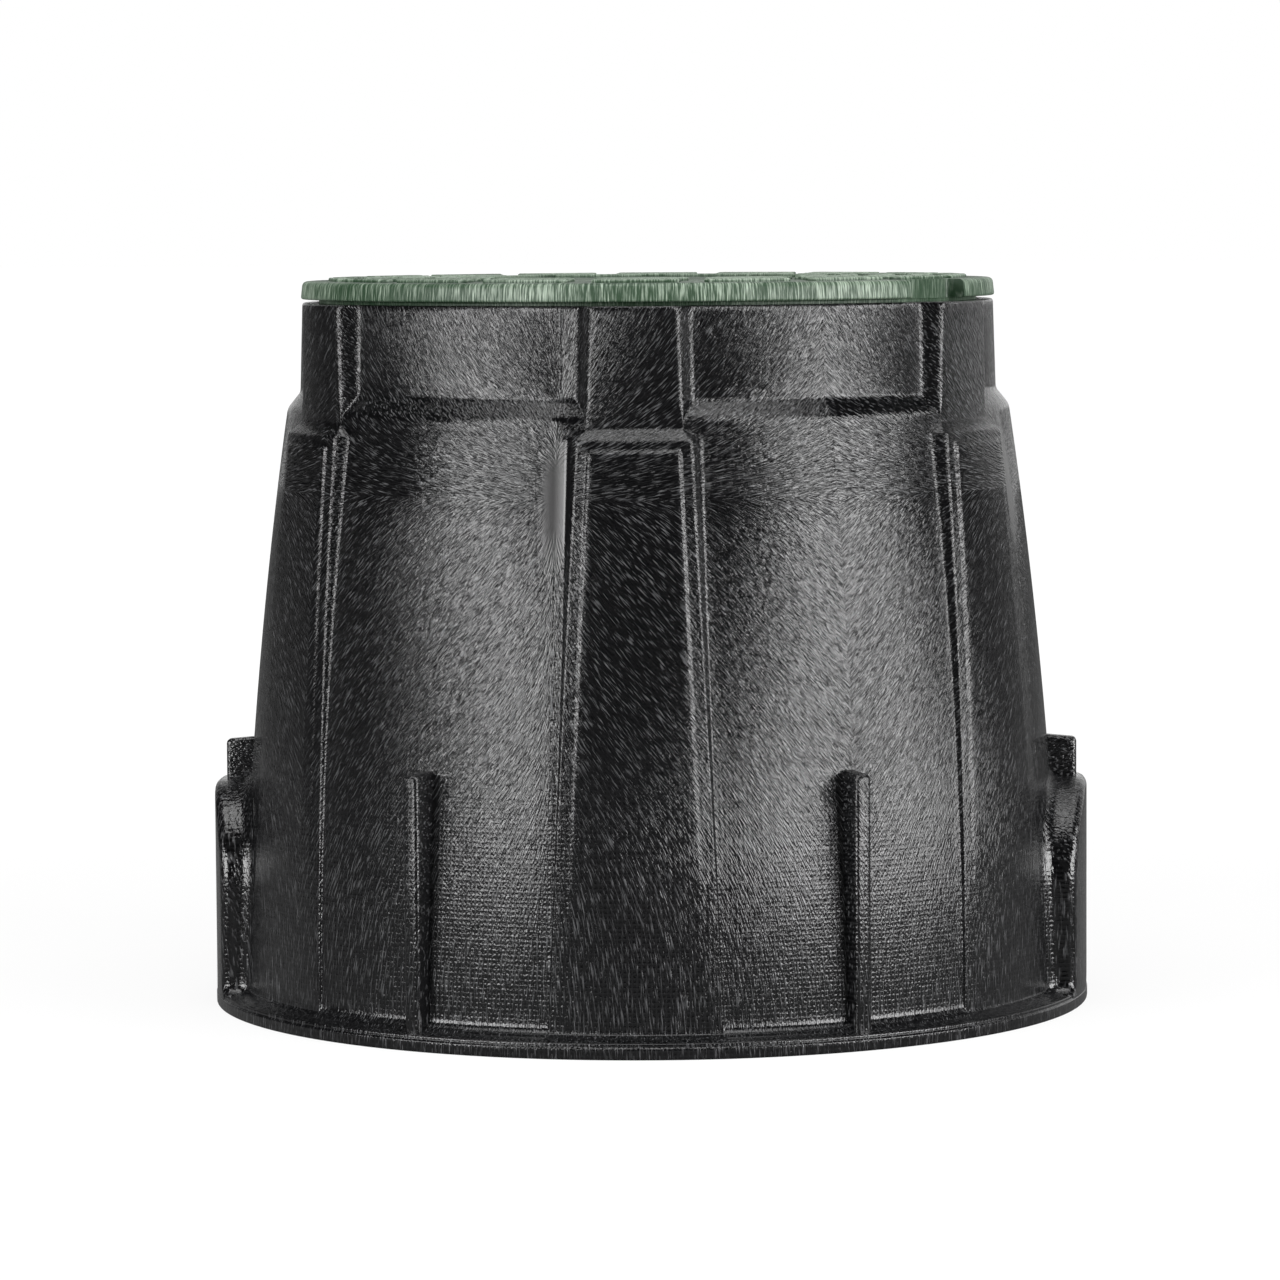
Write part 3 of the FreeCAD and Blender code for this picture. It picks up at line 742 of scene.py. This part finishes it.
for k in range(4):
    spoke_low = (-SPOKE_REACH, -SPOKE_HALF, SPOKE_FOOT)
    spoke_high = (SPOKE_REACH, SPOKE_HALF, PLATE_UNDER + 1.0)
    combine(cover, eased_block(spoke_low, spoke_high, 0, 0, k * math.pi / 4), "UNION")
notch_low = (-NOTCH_HALF, -COVER_RADIUS - 12.5, COVER_FOOT - 0.2)
notch_high = (NOTCH_HALF, -NOTCH_FLOOR, COVER_TOP + 7.0)
combine(cover, eased_block(notch_low, notch_high, 2.0, 0, NOTCH_TURN), "DIFFERENCE")
for number, bars in enumerate(TREAD_BARS):
    far = TREAD_RADIUS - TREAD_PITCH * number
    half = math.pi * (far - TREAD_BAR_WIDTH / 2) / bars - TREAD_GAP / 2
    bar_low = (-half, -far, COVER_TOP - 1.5)
    bar_high = (half, TREAD_BAR_WIDTH - far, TREAD_TOP)
    for bar in range(bars):
        combine(cover, eased_block(bar_low, bar_high, 1.6, 0.5, 2.0 * math.pi * bar / bars), "UNION")
smooth_shade(cover, 35.0)

COVER_DEEP = (0.012, 0.042, 0.015, 1.0)
COVER_PALE = (0.36, 0.44, 0.35, 1.0)
STROKES_AROUND = 210.0
STROKES_OUTWARDS = 150.0
STROKES_UPWARDS = 120.0
green = Nodes("green_foamed_plastic")
spot, (spot_x, spot_y, spot_z) = green.place()
around = green.math("ARCTAN2", spot_x, green.math("MULTIPLY", spot_y, -1.0))
outwards = green.distance(spot_x, spot_y)
stroke_place = green.point(
    green.math("MULTIPLY", around, STROKES_AROUND),
    green.math("MULTIPLY", outwards, STROKES_OUTWARDS),
    green.math("MULTIPLY", spot_z, STROKES_UPWARDS),
)
strokes = green.noise(stroke_place, 1.0, 3.0, 0.6)
clouds = green.noise(spot, 25.0, 3.0, 0.5)
grain = green.noise(spot, 900.0, 2.0, 0.6)
# Strokes are soft on the trodden top. The bar tops get a painted highlight and the floor between them
# painted shade.
edge = green.scaled(outwards, 0.121, 0.126)
contrast = green.scaled(edge, 0.0, 1.0, 0.7, 1.0)
softened = green.math("MULTIPLY", green.math("SUBTRACT", strokes, 0.5), contrast)
# Painted highlight on the bar tops and painted shade on the floor between them, set by height.
tread_painted_light = green.scaled(spot_z, 0.2653, 0.2661, -0.03, 0.07)
tread_painted_light = green.math("MULTIPLY", tread_painted_light, green.math("SUBTRACT", 1.0, edge))
marks = green.math("ADD", green.math("ADD", softened, 0.5), green.math("MULTIPLY", clouds, 0.3))
marks = green.scaled(green.math("ADD", marks, tread_painted_light), 0.56, 0.92)
green.feed(green.shader.inputs["Base Color"], green.blend(marks, COVER_DEEP, COVER_PALE))
green.feed(green.shader.inputs["Roughness"], green.scaled(strokes, 0.3, 0.7, 0.6, 0.45, smooth=False))
height = green.math("ADD", strokes, green.math("MULTIPLY", grain, 0.4))
green.feed(green.shader.inputs["Normal"], green.bump(height, 0.3, 0.0005))
cover.data.materials.append(green.material)
cover.name = "lift_off_cover"
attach(cover, "root")
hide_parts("cover")


# Studio: a plain white floor, a white surround, two large soft boxes at the sides and one above.
# In reflections the surround is dark except behind the box, as a room is behind a camera.
FLOOR_REACH = 30.0
FLOOR_MIRRORED = 0.1
ROOM_AMBIENT = 0.22
floor_mesh = bpy.data.meshes.new("studio_floor")
floor_corners = [(x * FLOOR_REACH, y * FLOOR_REACH, 0.0) for x, y in ((-1, -1), (1, -1), (1, 1), (-1, 1))]
floor_mesh.from_pydata(floor_corners, [], [(0, 1, 2, 3)])
floor = bpy.data.objects.new("studio_floor", floor_mesh)
bpy.context.scene.collection.objects.link(floor)
paper = Nodes("white_paper")
paper.shader.inputs["Base Color"].default_value = (0.13, 0.13, 0.13, 1.0)
paper.shader.inputs["Roughness"].default_value = 0.9
paper.shader.inputs["Specular IOR Level"].default_value = 0.0
paper.shader.inputs["Emission Color"].default_value = (1.0, 1.0, 1.0, 1.0)
seen = paper.tree.nodes.new("ShaderNodeLightPath")
mirrored = paper.math("MULTIPLY", seen.outputs["Is Glossy Ray"], FLOOR_MIRRORED)
seen_straight = paper.math("MAXIMUM", seen.outputs["Is Camera Ray"], seen.outputs["Is Transmission Ray"])
seen_any = paper.math("MAXIMUM", seen_straight, mirrored)
_, (floor_x, floor_y, _) = paper.place()
# The paper's own glow is a little weaker round the box, so that the lamps' shadow shows there.
glow = paper.scaled(paper.distance(floor_x, floor_y), 0.2, 1.5, 0.86, 1.0)
paper.feed(paper.shader.inputs["Emission Strength"], paper.math("MULTIPLY", seen_any, glow))
floor_mesh.materials.append(paper.material)

world = bpy.data.worlds.new("studio")
bpy.context.scene.world = world
world.use_nodes = True
world_tree = world.node_tree
surround = world_tree.nodes["Background"]
surround.inputs["Color"].default_value = (1.0, 1.0, 1.0, 1.0)
light_path = world_tree.nodes.new("ShaderNodeLightPath")
direction = world_tree.nodes.new("ShaderNodeTexCoord")
away_from_front = world_tree.nodes.new("ShaderNodeVectorMath")
away_from_front.operation = "DOT_PRODUCT"
away_from_front.inputs[1].default_value = (0.3, 0.954, 0.0)
world_tree.links.new(direction.outputs["Generated"], away_from_front.inputs[0])
front = world_tree.nodes.new("ShaderNodeMapRange")
front.interpolation_type = "SMOOTHSTEP"
for socket, given in zip(front.inputs, (0.0, 0.6, 0.93, 0.02, 1.0)):
    socket.default_value = given
world_tree.links.new(away_from_front.outputs["Value"], front.inputs[0])
ambient = world_tree.nodes.new("ShaderNodeMix")
ambient.inputs[2].default_value = ROOM_AMBIENT
world_tree.links.new(light_path.outputs["Is Glossy Ray"], ambient.inputs[0])
world_tree.links.new(front.outputs[0], ambient.inputs[3])
straight = world_tree.nodes.new("ShaderNodeMath")
straight.operation = "MAXIMUM"
world_tree.links.new(light_path.outputs["Is Camera Ray"], straight.inputs[0])
world_tree.links.new(light_path.outputs["Is Transmission Ray"], straight.inputs[1])
white = world_tree.nodes.new("ShaderNodeMix")
white.inputs[3].default_value = 1.0
world_tree.links.new(straight.outputs[0], white.inputs[0])
world_tree.links.new(ambient.outputs[0], white.inputs[2])
world_tree.links.new(white.outputs[0], surround.inputs["Strength"])


def soft_box(name, azimuth, height, distance, width, tall, power):
    """Area lamp at an azimuth from the front, facing the middle of the box."""
    lamp = bpy.data.lights.new(name, "AREA")
    lamp.shape = "RECTANGLE"
    lamp.size = width
    lamp.size_y = tall
    lamp.energy = power
    holder = bpy.data.objects.new(name, lamp)
    turn = math.radians(azimuth)
    holder.location = (distance * math.sin(turn), -distance * math.cos(turn), height)
    aim = Vector((0.0, 0.0, 0.15)) - holder.location
    holder.rotation_euler = aim.to_track_quat("-Z", "Y").to_euler()
    bpy.context.scene.collection.objects.link(holder)


soft_box("left_soft_box", azimuth=-48.0, height=0.45, distance=1.7, width=1.05, tall=0.65, power=25.0)
soft_box("right_soft_box", azimuth=60.0, height=0.42, distance=1.7, width=1.3, tall=0.65, power=33.0)
soft_box("top_soft_box", azimuth=0.0, height=1.9, distance=0.3, width=1.6, tall=1.3, power=26.0)


# Camera: a long lens two metres away and a little above the cover.
# It stands slightly to the right of the front pilaster and looks a few degrees down.
CAMERA_AZIMUTH = math.radians(2.1)
CAMERA_DISTANCE = 1.97
CAMERA_HEIGHT = 0.288
CAMERA_TILT = math.radians(4.54)
CAMERA_ROLL = math.radians(-0.38)
CAMERA_YAW = math.radians(0.105)
CAMERA_LENS = 150.1
lens = bpy.data.cameras.new("camera")
lens.sensor_width = 36.0
lens.lens = CAMERA_LENS
camera = bpy.data.objects.new("camera", lens)
camera.location = (
    CAMERA_DISTANCE * math.sin(CAMERA_AZIMUTH),
    -CAMERA_DISTANCE * math.cos(CAMERA_AZIMUTH),
    CAMERA_HEIGHT,
)
heading = Matrix.Rotation(CAMERA_AZIMUTH + CAMERA_YAW, 3, "Z")
pitch = Matrix.Rotation(math.pi / 2 - CAMERA_TILT, 3, "X")
roll = Matrix.Rotation(CAMERA_ROLL, 3, "Z")
camera.rotation_euler = (heading @ pitch @ roll).to_euler()
bpy.context.scene.collection.objects.link(camera)
bpy.context.scene.camera = camera
bpy.context.scene.view_settings.view_transform = "Standard"
